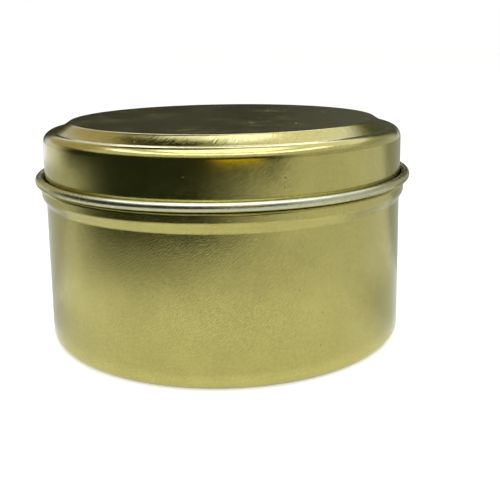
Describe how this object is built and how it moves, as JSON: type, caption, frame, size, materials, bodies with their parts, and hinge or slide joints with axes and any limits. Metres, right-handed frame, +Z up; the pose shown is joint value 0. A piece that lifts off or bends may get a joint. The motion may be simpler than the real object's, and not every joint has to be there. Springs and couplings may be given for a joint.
{
  "type": "candle tin",
  "caption": "Round shallow metal candle tin with a lift-off slip lid, a raised flat panel on top, a rolled ring round the lid's foot and a stop bead under it.",
  "frame": {"origin": "centre of the standing ring under the base, on the surface the tin stands on", "axes": "+Z up along the tin's axis of revolution; the tin is round, so X and Y are any two level directions"},
  "size_m": [0.0802, 0.0802, 0.0459],
  "materials": {
    "body_lacquer": "satin gold lacquer on tinplate outside, bare tinplate inside",
    "lid_lacquer": "satin gold lacquer on tinplate outside, bare tinplate inside and on the rolled foot"
  },
  "bodies": {
    "tin_body": {"tin_body": "body_lacquer"},
    "lid": {"lid": "lid_lacquer"}
  },
  "joints": [
    {"name": "lid_lift", "type": "slide", "parent": "tin_body", "child": "lid", "axis": [0, 0, 1], "range_m": [0, 0.04]}
  ]
}
